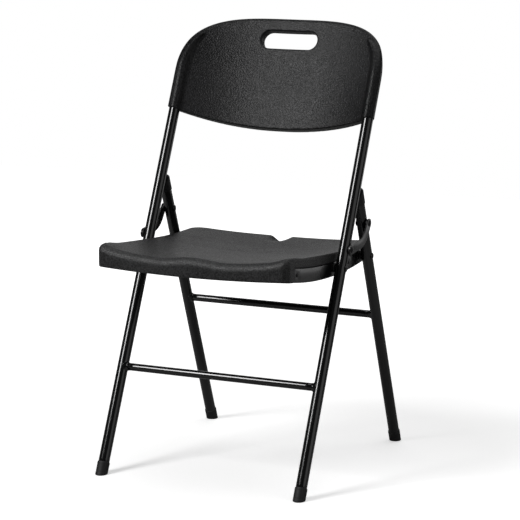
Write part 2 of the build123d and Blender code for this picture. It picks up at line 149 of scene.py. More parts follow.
def skin(field, low, high, step):
    """Closed quad mesh of the surface where the field is zero: one vertex in each grid cell it crosses."""
    low, high = np.array(low) - 2 * step, np.array(high) + 2 * step
    counts = np.ceil((high - low) / step).astype(int) + 1
    axes = [low[i] + step * np.arange(counts[i]) for i in range(3)]
    grid = np.stack(np.meshgrid(*axes, indexing="ij"), -1).reshape(-1, 3)
    inside = (field(grid) < 0).reshape(counts)
    corners = sum(
        inside[i:counts[0] - 1 + i, j:counts[1] - 1 + j, k:counts[2] - 1 + k].astype(int)
        for i in (0, 1) for j in (0, 1) for k in (0, 1)
    )
    crossed = (corners > 0) & (corners < 8)
    index = np.full(crossed.shape, -1)
    index[crossed] = np.arange(crossed.sum())
    points = low + (np.argwhere(crossed) + 0.5) * step
    quads = []
    for axis in range(3):
        first = np.take(inside, range(counts[axis] - 1), axis)
        second = np.take(inside, range(1, counts[axis]), axis)
        edges = np.argwhere(first != second)
        across, other = np.eye(3, dtype=int)[(axis + 1) % 3], np.eye(3, dtype=int)[(axis + 2) % 3]
        ring = [tuple((edges - shift).T) for shift in (across + other, other, 0 * other, across)]
        quad = np.stack([index[cell] for cell in ring], 1)
        leaving = first[tuple(edges.T)]
        quad[~leaving] = quad[~leaving][:, ::-1]
        quads.append(quad)
    quads = np.concatenate(quads)
    points = settle(field, points, step, FIRST_ROUNDS)
    ends = np.concatenate([quads, np.roll(quads, 1, 1), np.roll(quads, -1, 1)]).ravel()
    nexts = np.concatenate([np.roll(quads, -1, 1), quads, np.roll(quads, -2, 1)]).ravel()
    shared = np.bincount(ends, minlength=len(points))[:, None]
    for _ in range(SMOOTH_ROUNDS):
        total = np.stack([np.bincount(ends, points[nexts, i], len(points)) for i in range(3)], 1)
        points = settle(field, 0.5 * points + 0.5 * total / shared, step, LATER_ROUNDS)
    return points, quads


def new_piece(name, points, faces, body, slot, nodes, axes=None):
    """A smooth shaded mesh object that stands for CAD nodes and rides on their body."""
    mesh = bpy.data.meshes.new(name)
    mesh.from_pydata([tuple(p) for p in points], [], [tuple(f) for f in faces])
    if axes is not None:
        mesh.transform(axes)
    mesh.validate()
    mesh.update()
    mesh.shade_smooth()
    piece = bpy.data.objects.new(name, mesh)
    bpy.context.scene.collection.objects.link(piece)
    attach(piece, body)
    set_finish(piece, slot)
    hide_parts(*nodes)
    return piece


# ---------------------------------------------------------------- back panel
BACK_STEP = 0.0017
BACK_WEB_HALF = 0.2255        # half width over which the web bows
BACK_WEB_END = 1.03           # how far past that it carries on, as a share
BACK_EDGE_N = -0.0100         # the web's front face at the sides, ahead of the tubes' axes
BACK_BOW_LOW = 0.0485         # depth of the bow near the lower edge
BACK_BOW_HIGH = 0.038         # and at the hand hole
BACK_BOW_S = (0.760, 0.933)   # where those two are, up the tube
BACK_BOW_POWER = 2.4
BACK_T, BACK_RIM_T = 0.020, 0.014
BACK_THIN_POWER = 4
BACK_SIDE_S = 0.839           # end of the straight sides
BACK_BOTTOM_S = 0.766         # lower edge at the sides
BACK_DROP = 0.020             # how far the lower edge hangs in the middle
BACK_EDGE_R, BACK_LOW_EDGE_R = 0.007, 0.002
CROWN_ACROSS, CROWN_UP = 3.19, 2.76
CROWN_SLOPE_FLOOR = 4.0
RIM_R, RIM_N = 0.0142, 0.0004  # the rolled rim that holds the tubes: its radius and its middle
RIM_REAR_N, RIM_REAR_R = 0.0136, 0.010
RIM_FADE = (0.860, 0.950)     # it sinks into the web between these, up the tube
RIM_FADE_POWER = 1.4
RIM_SINK = 0.019
RIM_CREASE = 0.007
HOLE_S, HOLE_HALF, HOLE_R = 0.9333, 0.0619, 0.0188
HOLE_EDGE_R = 0.003


def local_box(node, axes):
    """A node's box in its tube's axes."""
    back = axes.inverted()
    points = np.array([back @ v.co for v in frame["nodes"][node].data.vertices])
    return points.min(0), points.max(0)


BACK_LOW, BACK_HIGH = local_box("back_panel", FRONT_AXES)
BACK_OUT, BACK_TOP_S = BACK_HIGH[0], BACK_HIGH[2]


def back_crown(x, s):
    """Signed distance to the straight sides and arched top of the front view outline."""
    height = BACK_TOP_S - BACK_SIDE_S
    out = np.abs(x) / BACK_OUT
    rise = np.maximum(s - BACK_SIDE_S, 0) / height
    steep_x = CROWN_ACROSS * out ** (CROWN_ACROSS - 1) / BACK_OUT
    steep_s = CROWN_UP * rise ** (CROWN_UP - 1) / height
    steep = np.maximum(np.hypot(steep_x, steep_s), CROWN_SLOPE_FLOOR)
    return (out ** CROWN_ACROSS + rise ** CROWN_UP - 1) / steep


def back_lower(x, s):
    """Signed distance to the sagging lower edge."""
    bend = (BACK_OUT ** 2 + BACK_DROP ** 2) / (2 * BACK_DROP)
    return np.hypot(x, s - (BACK_BOTTOM_S - BACK_DROP + bend)) - bend


def back_web(x, n, s):
    """Signed distance to the bowed web, thinner at the sides."""
    out = np.minimum(np.abs(x) / BACK_WEB_HALF, BACK_WEB_END)
    share = (s - BACK_BOW_S[0]) / (BACK_BOW_S[1] - BACK_BOW_S[0])
    bow = BACK_BOW_LOW + share * (BACK_BOW_HIGH - BACK_BOW_LOW)
    front = BACK_EDGE_N + bow * (1 - out ** BACK_BOW_POWER)
    steep = np.hypot(1, bow * BACK_BOW_POWER * out ** (BACK_BOW_POWER - 1) / BACK_WEB_HALF)
    thick = BACK_T + (BACK_RIM_T - BACK_T) * out ** BACK_THIN_POWER
    return np.maximum(front - n, n - front - thick) / steep


def back_rim(crown, n, s):
    """Signed distance to the rolled rim along the sides, which sinks away towards the top."""
    fade = np.clip((s - RIM_FADE[0]) / (RIM_FADE[1] - RIM_FADE[0]), 0, 1)
    rim = np.hypot(crown + RIM_R, n - RIM_N) - RIM_R + RIM_SINK * fade ** RIM_FADE_POWER
    return round_cut(rim, n - RIM_REAR_N, RIM_REAR_R)


def back_field(points):
    x, n, s = points.T
    crown = back_crown(x, s)
    body = round_join(back_web(x, n, s), back_rim(crown, n, s), RIM_CREASE)
    body = round_cut(body, crown, BACK_EDGE_R)
    body = round_cut(body, back_lower(x, s), BACK_LOW_EDGE_R)
    hole = np.hypot(np.maximum(np.abs(x) - (HOLE_HALF - HOLE_R), 0), s - HOLE_S) - HOLE_R
    return round_cut(body, -hole, HOLE_EDGE_R)


def back_panel():
    points, quads = skin(back_field, BACK_LOW, BACK_HIGH, BACK_STEP)
    return new_piece("back_shell", points, quads, "front_frame", "back_plastic", ["back_panel"], FRONT_AXES)


# ---------------------------------------------------------------- seat panel
SEAT_STEP = 0.0018
SEAT_LOW, SEAT_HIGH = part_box("seat_panel")
RAIL_LOW, RAIL_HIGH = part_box("seat_rail_left")
SEAT_FRONT, SEAT_REAR = SEAT_LOW.y, SEAT_HIGH.y
RAIL_FRONT = RAIL_LOW.y - 0.0005
RAIL_EDGE_Z = RAIL_LOW.z
RAIL_LOWEST_Y = FRONT_FOOT_Y + 0.215
RAIL_BEND_R = 1.2
RAIL_H = 0.027
RAIL_GAP = 0.0012
RAIL_FLANGE_T = 0.002
RAIL_FLANGE_X = RAIL_LOW.x
SEAT_RIM_HALF = RAIL_HIGH.x
SEAT_SIDE_HALF = RAIL_HIGH.x - 0.0025
SEAT_REAR_Z = 0.4412          # the rim at the rear
SEAT_FRONT_RISE = 0.026       # how much higher it is at the front,
SEAT_RISE_RUN = 0.75          # and the share of the depth over which it rises
SEAT_RISE_POWER = 1.3
SEAT_DISH, SEAT_DISH_POWER = 0.017, 2.6
DISH_AT_REAR = 0.3            # share of the dish that is left at the rear
DISH_BEHIND, DISH_RUN = 0.02, 0.19
HUMP_RISE = 0.0065            # low swell between the thighs at the front
HUMP_HALF, HUMP_RUN, HUMP_AT = 0.075, 0.085, 0.012
WING_RISE = 0.004             # the front corners turn up a little
WING_HALF, WING_RUN, WING_AT = 0.045, 0.07, 0.02
LIP_DROP, LIP_SAG, LIP_RUN = 0.0035, 0.0065, 0.08
NOTCH_HALF, NOTCH_DEPTH, NOTCH_RUN = 0.027, 0.0125, 0.060
FRONT_CORNER_R, REAR_CORNER_R, WING_CORNER_R = 0.015, 0.030, 0.002
SEAT_EDGE_R, SEAT_UNDER_R = 0.0035, 0.003
SEAT_LIP_R, SEAT_LIP_RUN = 0.017, 0.05
RAIL_SIDE_FIT, RAIL_BED_FIT = 0.0005, 0.0001
RAIL_BED_R = 0.0008
HEIGHT_REACH = 0.0005         # reach of the differences that give a height field's slope


def rail_edge(y):
    """Height of the rails' lower edge."""
    return RAIL_EDGE_Z + RAIL_BEND_R - np.sqrt(RAIL_BEND_R ** 2 - (y - RAIL_LOWEST_Y) ** 2)


def seat_top(x, y):
    """Height of the sitting surface."""
    ahead = np.maximum(0, 1 - (y - SEAT_FRONT) / (SEAT_RISE_RUN * (SEAT_REAR - SEAT_FRONT)))
    rim = SEAT_REAR_Z + SEAT_FRONT_RISE * ahead ** SEAT_RISE_POWER
    across = 1 - np.minimum(1, np.abs(x) / SEAT_RIM_HALF) ** SEAT_DISH_POWER
    along = np.minimum(1, (SEAT_REAR + DISH_BEHIND - y) / DISH_RUN)
    dish = SEAT_DISH * across * (DISH_AT_REAR + (1 - DISH_AT_REAR) * along)
    notch = NOTCH_DEPTH * bell(x / NOTCH_HALF) * bell(np.minimum(0, y - SEAT_REAR) / NOTCH_RUN)
    wing_along = bell((y - SEAT_FRONT - WING_AT) / WING_RUN)
    wing = WING_RISE * bell((np.abs(x) - SEAT_HIGH.x) / WING_HALF) * wing_along
    hump = HUMP_RISE * bell(x / HUMP_HALF) * bell((y - SEAT_FRONT - HUMP_AT) / HUMP_RUN)
    return rim - dish - notch + wing + hump


def seat_bottom(x, y):
    """Height of the underside, with the front lip hanging below it."""
    across = 1 - np.minimum(1, np.abs(x) / SEAT_RIM_HALF) ** 2
    return rail_edge(y) + RAIL_FLANGE_T - (LIP_DROP + LIP_SAG * across) * bell((y - SEAT_FRONT) / LIP_RUN)


def sheet_distance(height, x, y, z):
    """Distance above a height field, allowing for its slope."""
    here = height(x, y)
    slope_x = height(x + HEIGHT_REACH, y) - here
    slope_y = height(x, y + HEIGHT_REACH) - here
    return (z - here) / np.hypot(1, np.hypot(slope_x, slope_y) / HEIGHT_REACH)


def plan_box(x, y, half, y0, y1, r_front, r_rear):
    """Distance to a rectangle in plan, with its own corner radii at the front and at the rear."""
    radius = np.where(y < (y0 + y1) / 2, r_front, r_rear)
    dx = np.abs(x) - half + radius
    dy = np.abs(y - (y0 + y1) / 2) - (y1 - y0) / 2 + radius
    return np.hypot(np.maximum(dx, 0), np.maximum(dy, 0)) + np.minimum(np.maximum(dx, dy), 0) - radius


def seat_field(points):
    x, y, z = points.T
    rim = plan_box(x, y, SEAT_RIM_HALF, SEAT_FRONT, SEAT_REAR, FRONT_CORNER_R, REAR_CORNER_R)
    wings = plan_box(x, y, SEAT_HIGH.x, SEAT_FRONT, RAIL_FRONT, FRONT_CORNER_R, WING_CORNER_R)
    lip = SEAT_EDGE_R + (SEAT_LIP_R - SEAT_EDGE_R) * bell((y - SEAT_FRONT) / SEAT_LIP_RUN)
    body = round_cut(sheet_distance(seat_top, x, y, z), np.minimum(rim, wings), lip)
    body = round_cut(body, -sheet_distance(seat_bottom, x, y, z), SEAT_UNDER_R)
    above_edge = z - rail_edge(y)
    behind = RAIL_FRONT - y
    side = np.maximum(np.maximum(SEAT_SIDE_HALF - np.abs(x), above_edge - RAIL_H - RAIL_GAP), behind)
    bed_x = RAIL_FLANGE_X - RAIL_SIDE_FIT - np.abs(x)
    bed = np.maximum(np.maximum(bed_x, above_edge - RAIL_FLANGE_T - RAIL_BED_FIT), behind)
    return round_cut(body, -np.minimum(side, bed), RAIL_BED_R)


def seat_panel():
    points, quads = skin(seat_field, SEAT_LOW, SEAT_HIGH, SEAT_STEP)
    return new_piece("seat_shell", points, quads, "seat", "seat_plastic", ["seat_panel"])


# ---------------------------------------------------------------- turned and swept pieces
UPRIGHT_WALL, UPRIGHT_RINGS, UPRIGHT_SEGMENTS = 0.0012, 40, 72
CROSSBAR_WALL, CROSSBAR_RINGS, CROSSBAR_SEGMENTS = 0.001, 24, 56
CROSSBAR_END = 0.0015         # how far a crossbar's end goes into the curve of the legs
WELD_SPREAD, WELD_RUN = 0.0030, 0.0046
WELD_INNER = 0.0010           # how deep the bead goes into the crossbar
WELD_REACH = 0.94 * TUBE_R    # how far round the leg the bead may go
WELD_TURNS, WELD_STEPS = 120, 8
WELD_OVER = 0.00015


def turned(profile, axes, segments=64):
    """A profile of (radius, height) turned about the axes' z. It closes at radius 0 or as a ring."""
    profile = np.array(profile)
    closed = profile[0, 0] > 0
    turn = np.linspace(0, 2 * math.pi, segments, endpoint=False)
    rows = [[(r * math.cos(a), r * math.sin(a), h) for a in turn] for r, h in profile if r > 0]
    points = [Vector(p) for row in rows for p in row]
    count = len(rows)
    faces = []
    for i in range(count if closed else count - 1):
        j = (i + 1) % count
        for k in range(segments):
            m = (k + 1) % segments
            faces.append((i * segments + k, i * segments + m, j * segments + m, j * segments + k))
    if not closed:
        for row, (_, height) in ((0, profile[0]), (count - 1, profile[-1])):
            points.append(Vector((0, 0, height)))
            hub = len(points) - 1
            for k in range(segments):
                pair = (row * segments + k, row * segments + (k + 1) % segments)
                faces.append((hub, pair[1], pair[0]) if row == 0 else (hub, pair[0], pair[1]))
    return [axes @ p for p in points], faces


def across_axes(at, side):
    """Axes at a point whose z points outward along X on that side of the chair."""
    out = Vector((side, 0, 0))
    up = Vector((0, 0, 1))
    turn = Matrix((out.cross(up) * -1, up, out)).transposed().to_4x4()
    return Matrix.Translation(at) @ turn


def arc(centre, radius, start, end, steps):
    """Points (radius, height) along an arc in a profile, angles in degrees."""
    turns = np.radians(np.linspace(start, end, steps))
    return [(centre[0] + radius * math.cos(a), centre[1] + radius * math.sin(a)) for a in turns]


def tube_profile(radius, wall, start, end, rings):
    """Outside of a tube one way and its inside the other way."""
    heights = np.linspace(start, end, rings)
    return [(radius, h) for h in heights] + [(radius - wall, h) for h in heights[::-1]]


def long_tube(name, node, body, axes, x):
    start, end = tube_span(node, axes)
    profile = tube_profile(TUBE_R, UPRIGHT_WALL, start, end, UPRIGHT_RINGS)
    points, faces = turned(profile, axes @ Matrix.Translation((x, 0, 0)), UPRIGHT_SEGMENTS)
    return new_piece(name, points, faces, body, "tube_paint", [node])


def crossbar(name, node, body):
    low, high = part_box(node)
    middle = (low + high) / 2
    radius = (high.z - low.z) / 2
    half = TUBE_IN + CROSSBAR_END
    profile = tube_profile(radius, CROSSBAR_WALL, -half, half, CROSSBAR_RINGS)
    points, faces = turned(profile, across_axes(Vector((0, middle.y, middle.z)), 1), CROSSBAR_SEGMENTS)
    return new_piece(name, points, faces, body, "tube_paint", [node])


def weld_section(bar_r, ripple):
    """Section of a bead as (distance from the crossbar's axis, distance from the leg)."""
    section = []
    for j in range(WELD_STEPS + 1):
        t = j / WELD_STEPS * math.pi / 2
        rho = bar_r + WELD_SPREAD * ripple * (1 - math.sin(t)) + WELD_OVER
        section.append((rho, WELD_RUN * ripple * (1 - math.cos(t))))
    inner = bar_r - WELD_INNER
    return section + [(inner, WELD_RUN * 0.9), (inner, -WELD_INNER), (bar_r + WELD_SPREAD * 0.8, -WELD_INNER)]


def weld_bead(axes, s, bar_r, side):
    """A fillet weld with fine ripples, as a closed ring round a crossbar's end, shaped to the leg."""
    points = []
    for i in range(WELD_TURNS):
        a = 2 * math.pi * i / WELD_TURNS
        ripple = 1 + 0.05 * math.sin(30 * a) + 0.04 * math.sin(7 * a + 2 * side)
        section = weld_section(bar_r, ripple)
        for rho, away in section:
            n = max(-WELD_REACH, min(WELD_REACH, rho * math.sin(a)))
            leg = TUBE_X - math.sqrt(TUBE_R ** 2 - n ** 2)
            points.append(axes @ Vector((side * (leg - away), n, s + rho * math.cos(a))))
    count = len(section)
    faces = []
    for i in range(WELD_TURNS):
        k = (i + 1) % WELD_TURNS
        for j in range(count):
            m = (j + 1) % count
            quad = (i * count + j, i * count + m, k * count + m, k * count + j)
            faces.append(quad if side > 0 else quad[::-1])
    return points, faces


def weld_beads(name, node, body, axes, bar):
    low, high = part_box(bar)
    s = (low.z + high.z) / 2 / axes[2][2]
    bar_r = (high.z - low.z) / 2
    points, faces = [], []
    for _, side in SIDES:
        more, quads = weld_bead(axes, s, bar_r, side)
        faces += [tuple(i + len(points) for i in quad) for quad in quads]
        points += more
    return new_piece(name, points, faces, body, "tube_paint", [node])


# ---------------------------------------------------------------- caps
CAP_STEP = 0.0009
CAP_SOLE = 0.0075             # height of the sole under the foot caps' groove
CAP_FIT = 0.0003              # room for the rib inside the cap's box
GROOVE_DEPTH, GROOVE_HALF = 0.0004, 0.0009
RIB_RISE, RIB_DOWN, RIB_HALF = 0.0003, 0.0035, 0.0012
CAP_TOP_R, CAP_SOLE_R = 0.0009, 0.0014
DOME_R, DOME_EDGE_R = 0.0045, 0.0008
DOME_GAP = 0.0005             # the flat of an end cap stays this far off the upright's tangent


def foot_cap(name, node, axes, x, body):
    """Moulded foot: a collar round the tube's end, a groove above the sole, and a flat sole on the floor."""
    low, high = local_box(node, axes)
    radius, top = (high[0] - low[0]) / 2, high[2]
    to_floor = np.array([axes[2][1], axes[2][2]])

    def field(points):
        across, n, s = points.T
        z = n * to_floor[0] + s * to_floor[1]
        groove = GROOVE_DEPTH * bell((z - CAP_SOLE) / GROOVE_HALF)
        rib = RIB_RISE * bell((s - top + RIB_DOWN) / RIB_HALF)
        wall = np.hypot(across - x, n) - radius + groove + CAP_FIT - rib
        return round_cut(round_cut(wall, s - top, CAP_TOP_R), -z, CAP_SOLE_R)

    points, quads = skin(field, low, high, CAP_STEP)
    return new_piece(name, points, quads, body, "cap_plastic", [node], axes)


def top_cap(name, node, side):
    """Domed end cap of a rear leg, flat in front where it rests on the upright."""
    low, high = local_box(node, REAR_AXES)
    x = side * TUBE_X
    radius, top = (high[0] - low[0]) / 2, high[2]
    to_front = FRONT_AXES.inverted() @ REAR_AXES

    def field(points):
        across, n, s = points.T
        flat_n = to_front[1][1] * n + to_front[1][2] * s + to_front[1][3]
        wall = np.hypot(across - x, n) - radius
        body = round_cut(round_cut(wall, s - top, DOME_R), low[2] - s, DOME_EDGE_R)
        return round_cut(body, TUBE_R + DOME_GAP - flat_n, DOME_EDGE_R)

    points, quads = skin(field, low, high, CAP_STEP)
    return new_piece(name, points, quads, "rear_frame", "cap_plastic", [node], REAR_AXES)


# ---------------------------------------------------------------- rivets and screws
HEAD_R = 0.0064
HEAD_EDGE = 0.0005            # height of the rolled edge round a head
HEAD_EDGE_IN = 0.0003
DIMPLE_R, DIMPLE_RIM, DIMPLE_DEPTH = 0.0010, 0.0004, 0.0006
DOME_END, DOME_STEPS = 84, 9  # the dome stops at this angle, in degrees, and the dimple takes over
LOW_HEAD, HIGH_HEAD = 0.002, 0.0026
SHANK_R = 0.00395
TAIL_R, TAIL_T, TAIL_TAPER = 0.0065, 0.0018, 0.0002
TAIL_DOWN = 0.008             # how far inside the tube's wall the rivets' inner ends are
END_GAP, HEAD_GAP = 0.0003, 0.0001
SCREW_STEP = 0.00028
SCREW_R, SCREW_H = 0.0046, 0.0022
SCREW_SKIRT, SCREW_EDGE = 0.001, 0.0002
SCREW_TOP_R, SCREW_FINE_R = 0.0003, 0.0001
SLOT_HALF, SLOT_RUN, SLOT_DEPTH = 0.0005, 0.0026, 0.0012
SCREW_APART = 0.02            # vertices further apart than this belong to another screw
SCREW_FACE = 0.0006           # depth of the outermost vertices that are looked at
DIAGONAL = 1.414


def head_profile(r, base, height):
    """Outside of a rivet head: a thin rolled edge, then a dome with a small dimple from the setting tool."""
    rise = height - HEAD_EDGE
    ball = (r * r + rise * rise) / (2 * rise)
    top = math.degrees(math.asin((r - HEAD_EDGE_IN) / ball))
    dome = arc((0, base + height - ball), ball, 90 - top, DOME_END, DOME_STEPS)
    dimple = [(DIMPLE_R, base + height - DIMPLE_RIM), (0, base + height - DIMPLE_DEPTH)]
    return [(r, base), (r, base + HEAD_EDGE * 0.7)] + dome + dimple


def rivet(name, node, body, at, start, tail_r, base, height, side):
    """A rivet along X: tail or blind end at start, head on a face at base."""
    taper = start + TAIL_T + TAIL_TAPER
    profile = [(0, start), (tail_r, start), (tail_r, start + TAIL_T), (SHANK_R, taper), (SHANK_R, base)]
    profile += head_profile(HEAD_R, base, height)
    points, faces = turned(profile, across_axes(Vector((0, at.y, at.z)), side))
    return new_piece(name, points, faces, body, "fastener_steel", [node])


def screw_head(out, y, z):
    """Signed distance to a pan head with a cross recess, at the origin and with its top towards +out."""
    ball = (SCREW_R ** 2 + SCREW_H ** 2) / (2 * SCREW_H)
    dome = np.sqrt((out - SCREW_H + ball) ** 2 + y * y + z * z) - ball
    rim = np.hypot(y, z) - SCREW_R + SCREW_EDGE
    head = round_cut(round_cut(dome, rim, SCREW_TOP_R), -SCREW_SKIRT - out, SCREW_FINE_R)
    one, other = np.abs(y + z) / DIAGONAL, np.abs(y - z) / DIAGONAL
    first = np.maximum(one - SLOT_HALF, other - SLOT_RUN)
    second = np.maximum(other - SLOT_HALF, one - SLOT_RUN)
    recess = np.maximum(np.minimum(first, second), SCREW_H - SLOT_DEPTH - out)
    return round_cut(head, -recess, SCREW_FINE_R)


def screw_places(node):
    """Where the CAD's screws are on the +X side, as (y, z)."""
    rows = np.array([v.co for v in frame["nodes"][node].data.vertices])
    rows = rows[rows[:, 0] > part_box(node)[1].x - SCREW_FACE]
    groups = []
    for y in sorted(rows[:, 1]):
        if not groups or y - groups[-1][0] > SCREW_APART:
            groups.append([y])
        else:
            groups[-1].append(y)
    places = []
    for group in groups:
        near = rows[(rows[:, 1] >= group[0]) & (rows[:, 1] <= group[-1])]
        places.append((near[:, 1:].min(0) + near[:, 1:].max(0)) / 2)
    return places


def screw_heads(name, node):
    """Pan head screws with cross recesses, along each rail."""
    base = SEAT_RIM_HALF
    points, faces = [], []
    for at_y, at_z in screw_places(node):

        def field(p):
            return screw_head(p[:, 0] - base, p[:, 1] - at_y, p[:, 2] - at_z)

        start = (base - SCREW_SKIRT, at_y - SCREW_R, at_z - SCREW_R)
        end = (base + SCREW_H, at_y + SCREW_R, at_z + SCREW_R)
        head, quads = skin(field, start, end, SCREW_STEP)
        for _, side in SIDES:
            rows = quads if side > 0 else quads[:, ::-1]
            faces += [tuple(quad) for quad in rows + len(points)]
            points += [tuple(p) for p in head * np.array([side, 1, 1])]
    return new_piece(name, points, faces, "seat", "fastener_steel", [node])


# ---------------------------------------------------------------- plates with the CAD's shape and eased edges
PLATE_EASE, RING_EASE = 0.0005, 0.0003
FLAT_ANGLE, SHARP_ANGLE, SHADE_ANGLE = (math.radians(a) for a in (0.5, 40, 35))


def eased(name, node, body, slot, width):
    """The CAD node's own shape with its sharp edges bevelled."""
    mesh = frame["nodes"][node].data
    shape = bmesh.new()
    shape.from_mesh(mesh)
    bmesh.ops.remove_doubles(shape, verts=shape.verts, dist=1e-6)
    bmesh.ops.dissolve_limit(shape, angle_limit=FLAT_ANGLE, verts=shape.verts, edges=shape.edges)
    sharp = [e for e in shape.edges if len(e.link_faces) == 2 and e.calc_face_angle(0) > SHARP_ANGLE]
    bmesh.ops.bevel(shape, geom=sharp, offset=width, segments=2, profile=0.6, affect="EDGES",
                    clamp_overlap=True)
    bmesh.ops.triangulate(shape, faces=[f for f in shape.faces if len(f.verts) > 4])
    points = [v.co.copy() for v in shape.verts]
    shape.verts.index_update()
    faces = [[v.index for v in f.verts] for f in shape.faces]
    shape.free()
    piece = new_piece(name, points, faces, body, slot, [node])
    piece.data.set_sharp_from_angle(angle=SHADE_ANGLE)
    return piece


# ---------------------------------------------------------------- materials
class Finish:
    """A material made of shader nodes in object space."""

    def __init__(self, name, **sockets):
        self.material = bpy.data.materials.new(name)
        self.material.use_nodes = True
        self.tree = self.material.node_tree
        self.shader = self.tree.nodes["Principled BSDF"]
        for socket, value in sockets.items():
            self.shader.inputs[socket.replace("_", " ")].default_value = value
        self.place = self.node("ShaderNodeTexCoord").outputs["Object"]

    def node(self, kind, **settings):
        node = self.tree.nodes.new(kind)
        for setting, value in settings.items():
            setattr(node, setting, value)
        return node

    def link(self, output, node, socket):
        self.tree.links.new(output, node.inputs[socket])

    def noise(self, scale, detail=3.0, roughness=0.5, stretch=None):
        texture = self.node("ShaderNodeTexNoise")
        texture.inputs["Scale"].default_value = scale
        texture.inputs["Detail"].default_value = detail
        texture.inputs["Roughness"].default_value = roughness
        place = self.place
        if stretch:
            mapping = self.node("ShaderNodeMapping")
            mapping.inputs["Scale"].default_value = stretch
            self.link(place, mapping, "Vector")
            place = mapping.outputs["Vector"]
        self.link(place, texture, "Vector")
        return texture.outputs["Fac"]

    def cells(self, scale, feature="F1"):
        texture = self.node("ShaderNodeTexVoronoi", feature=feature)
        texture.inputs["Scale"].default_value = scale
        self.link(self.place, texture, "Vector")
        return texture.outputs["Distance"]

    def remap(self, value, low, high, to_low, to_high):
        node = self.node("ShaderNodeMapRange")
        ends = {"From Min": low, "From Max": high, "To Min": to_low, "To Max": to_high}
        for socket, number in ends.items():
            node.inputs[socket].default_value = number
        self.link(value, node, "Value")
        return node.outputs["Result"]

    def math(self, operation, a, b):
        node = self.node("ShaderNodeMath", operation=operation)
        for socket, value in ((0, a), (1, b)):
            if isinstance(value, (int, float)):
                node.inputs[socket].default_value = value
            else:
                self.link(value, node, socket)
        return node.outputs["Value"]

    def ramp(self, value, stops):
        node = self.node("ShaderNodeValToRGB")
        elements = node.color_ramp.elements
        while len(elements) < len(stops):
            elements.new(0.5)
        for element, (place, colour) in zip(elements, stops):
            element.position = place
            element.color = (*colour, 1)
        self.link(value, node, "Fac")
        return node.outputs["Color"]

    def blend(self, share, a, b):
        node = self.node("ShaderNodeMix", data_type="RGBA")
        self.link(share, node, "Factor")
        for socket, value in ((6, a), (7, b)):
            if isinstance(value, tuple):
                node.inputs[socket].default_value = (*value, 1)
            else:
                self.tree.links.new(value, node.inputs[socket])
        return node.outputs[2]

    def bump(self, height, distance, strength=1.0, under=None):
        node = self.node("ShaderNodeBump")
        node.inputs["Distance"].default_value = distance
        node.inputs["Strength"].default_value = strength
        self.link(height, node, "Height")
        if under is not None:
            self.link(under, node, "Normal")
        return node.outputs["Normal"]

    def edges(self, low, high):
        """0 on flat and hollow places and 1 on the most prominent edges."""
        pointed = self.node("ShaderNodeNewGeometry").outputs["Pointiness"]
        return self.remap(pointed, low, high, 0, 1)


def grained_plastic(name, dark, light, rough, shine):
    """Moulded polyethylene: fine leather grain, slightly mottled, a little polished on the high spots."""
    finish = Finish(name, Specular_IOR_Level=shine)
    pebble = finish.cells(380, "SMOOTH_F1")
    fine = finish.noise(380, 3.0, 0.6)
    grain = finish.math("ADD", finish.remap(pebble, 0.0, 0.9, 1, 0), finish.math("MULTIPLY", fine, 2.2))
    cloud = finish.noise(9, 4.0)
    speck = finish.noise(380, 2.0, 0.6)
    tone = finish.math("ADD", finish.math("MULTIPLY", cloud, 0.2), finish.math("MULTIPLY", speck, 0.8))
    colour = finish.ramp(tone, ((0.38, dark), (0.62, light)))
    finish.link(colour, finish.shader, "Base Color")
    gloss = finish.math("ADD", finish.remap(cloud, 0.3, 0.7, rough - 0.04, rough + 0.04),
                        finish.remap(fine, 0.35, 0.65, 0.09, -0.09))
    finish.link(gloss, finish.shader, "Roughness")
    wobble = finish.bump(finish.noise(22, 2.0), 0.0006, 0.35)
    finish.link(finish.bump(grain, 0.00030, 1.0, wobble), finish.shader, "Normal")
    return finish.material


def gloss_paint(name, base, rough):
    """Black stove paint on steel: faint orange peel, hairline scuffs along the tubes, a few dull patches."""
    finish = Finish(name, Specular_IOR_Level=0.55, Coat_Weight=0.35, Coat_Roughness=0.12)
    cloud = finish.noise(14, 3.0)
    dust = finish.noise(900, 2.0, 0.7)
    colour = finish.blend(finish.remap(dust, 0.55, 0.75, 0, 0.5), base, tuple(2.6 * c for c in base))
    finish.link(colour, finish.shader, "Base Color")
    scuff = finish.remap(finish.noise(260, 3.0, 0.6, (1, 1, 0.05)), 0.58, 0.72, 0, 0.10)
    dull = finish.remap(cloud, 0.35, 0.7, rough - 0.03, rough + 0.06)
    finish.link(finish.math("ADD", dull, scuff), finish.shader, "Roughness")
    finish.link(finish.bump(finish.noise(420, 2.0), 0.00002, 0.4), finish.shader, "Normal")
    return finish.material


def matt_plastic(name, dark, light, rough):
    """Injection moulded cap plastic: fine spark texture, scuffed paler where it touches things."""
    finish = Finish(name, Specular_IOR_Level=0.4)
    speck = finish.noise(1500, 2.0, 0.7)
    cloud = finish.noise(70, 3.0)
    worn = finish.math("MULTIPLY", finish.edges(0.52, 0.6), finish.remap(cloud, 0.45, 0.65, 0, 0.6))
    plain = finish.ramp(speck, ((0.35, dark), (0.7, light)))
    finish.link(finish.blend(worn, plain, tuple(2.2 * c for c in light)), finish.shader, "Base Color")
    finish.link(finish.remap(cloud, 0.3, 0.7, rough - 0.06, rough + 0.06), finish.shader, "Roughness")
    finish.link(finish.bump(speck, 0.0002, 0.6), finish.shader, "Normal")
    return finish.material


